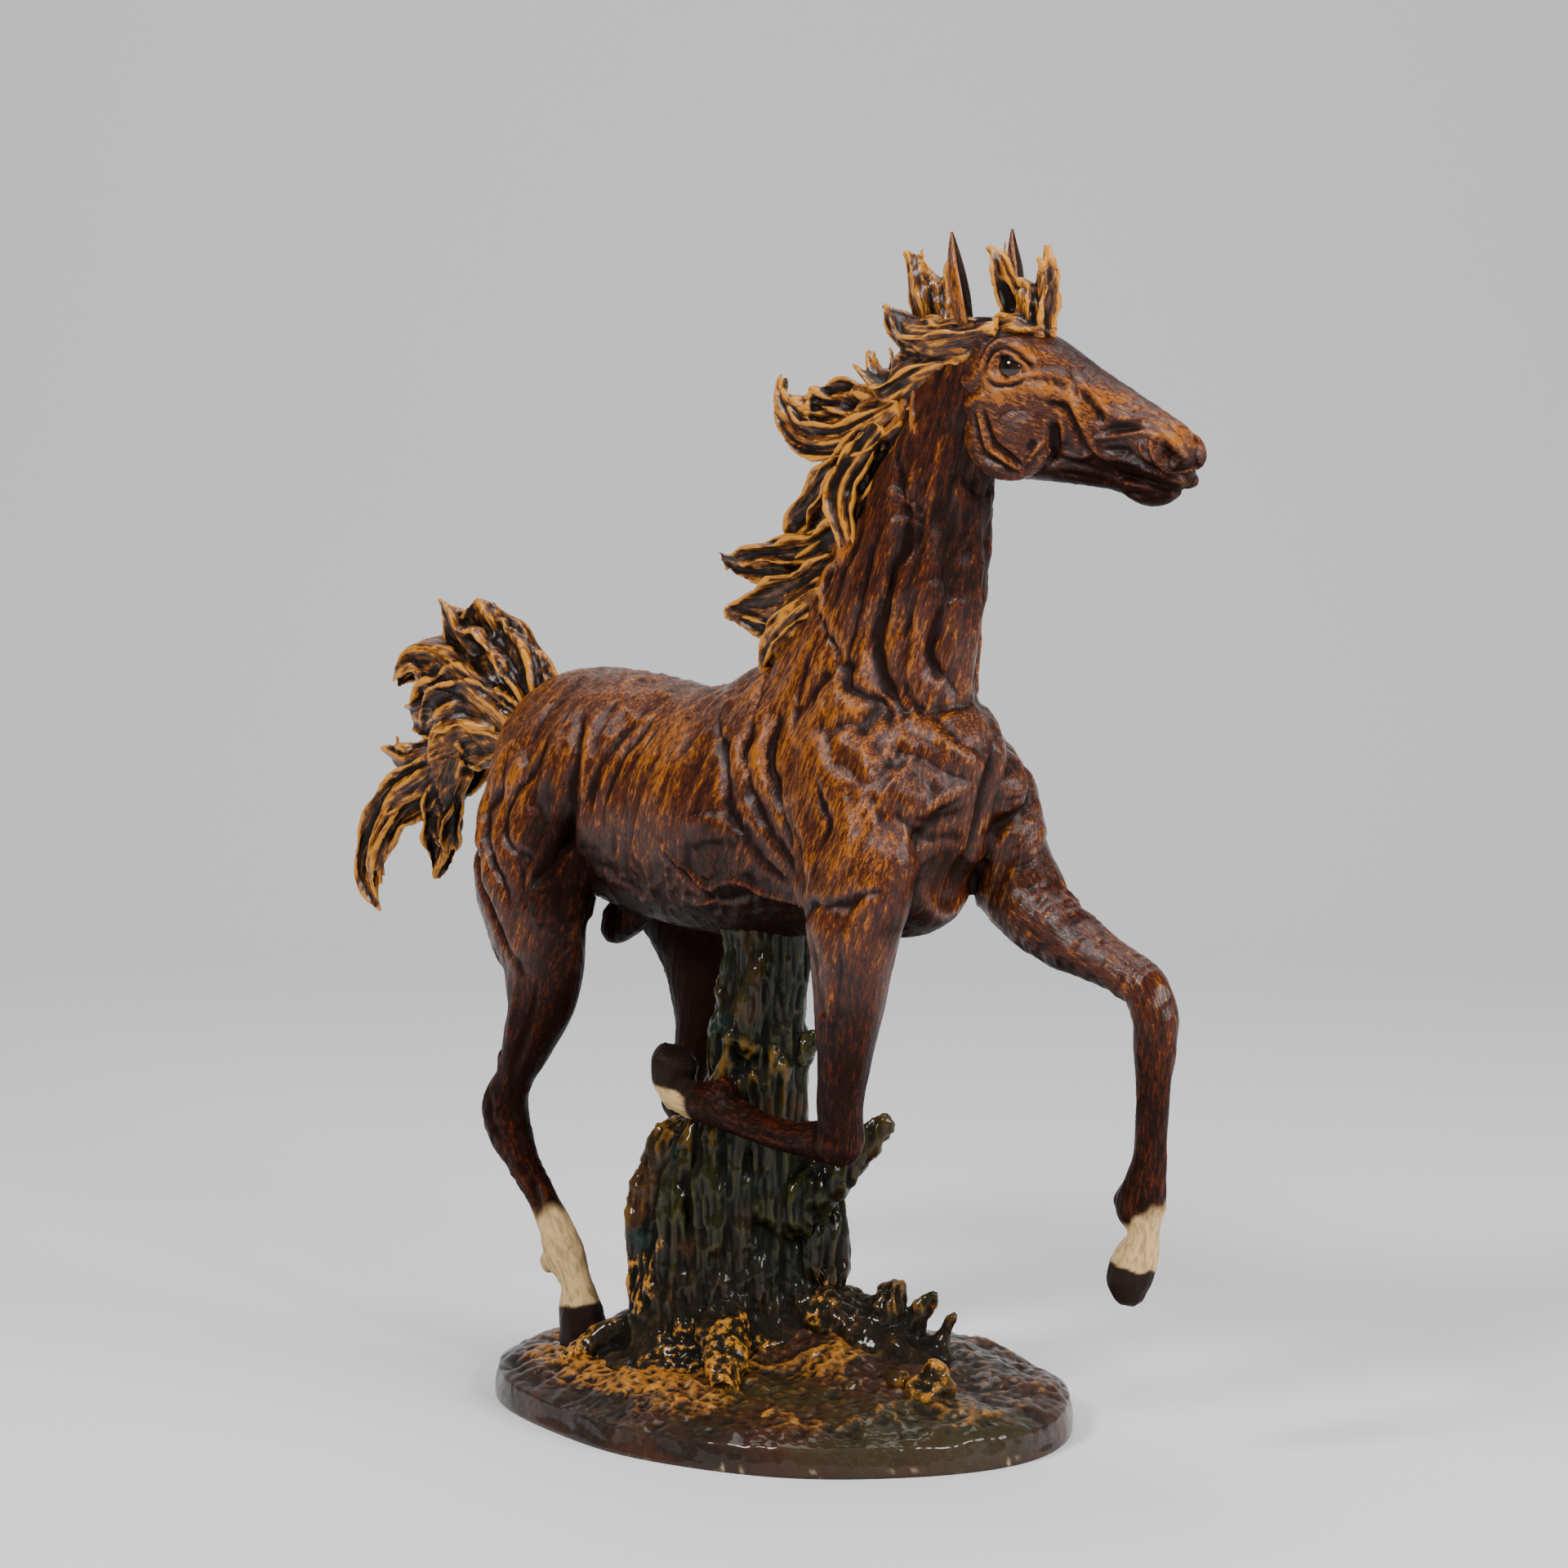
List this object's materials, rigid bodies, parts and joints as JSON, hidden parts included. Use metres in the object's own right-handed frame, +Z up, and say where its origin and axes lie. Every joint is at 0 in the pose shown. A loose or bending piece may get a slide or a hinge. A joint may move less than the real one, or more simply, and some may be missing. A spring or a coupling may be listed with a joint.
{
  "type": "horse statue",
  "caption": "Prancing stallion on an oval rocky base, hollow bronze castings bolted down on a tree trunk that carries the belly.",
  "frame": {"origin": "on the flat underside of the base, near its middle, below the horse's chest and loin", "axes": "+X the way the horse faces, +Y the horse's left side, +Z up, out of the base"},
  "size_m": [0.3327, 0.1453, 0.3636],
  "materials": {
    "coat": "cold-painted bronze, ochre over dark red-brown, clear gloss lacquer",
    "legs": "cold-painted bronze, dark red-brown with cream socks and near-black hooves, clear gloss lacquer",
    "hair": "cold-painted bronze, golden ochre ridges over brown-black hollows, clear gloss lacquer",
    "bark": "cold-painted bronze, dark olive and green-black, clear gloss lacquer",
    "ground": "cold-painted bronze, dark brown with ochre patches, worn rim, clear gloss lacquer",
    "bright_brass": "bare turned brass",
    "steel": "plain machined steel, slightly oiled"
  },
  "bodies": {
    "root": {"base_casting": "ground", "root_casting": "ground", "rock_casting": "ground", "trunk_casting": "bark", "branch_casting": "bark", "torso_casting": "coat", "neck_casting": "coat", "head_casting": "coat", "ear_left": "coat", "ear_right": "coat", "forelock_casting": "hair", "poll_tuft_casting": "hair", "mane_crest_casting": "hair", "mane_upper_casting": "hair", "mane_middle_casting": "hair", "mane_lower_casting": "hair", "tail_upper_casting": "hair", "tail_lower_casting": "hair", "foreleg_left": "legs", "foreleg_right": "legs", "hindleg_left": "legs", "hindleg_right": "legs", "leg_dowels": "bright_brass", "leg_cross_pins": "bright_brass", "neck_sleeve": "bright_brass", "neck_pins": "bright_brass", "tail_dowel": "bright_brass", "tail_pin": "bright_brass", "tie_rod": "steel", "tie_rod_nut": "steel", "tie_rod_washer": "steel", "belly_nut": "steel", "belly_washer": "steel", "hoof_studs": "steel", "hoof_nuts": "steel", "hoof_washers": "steel", "trunk_screws": "steel"}
  },
  "joints": []
}
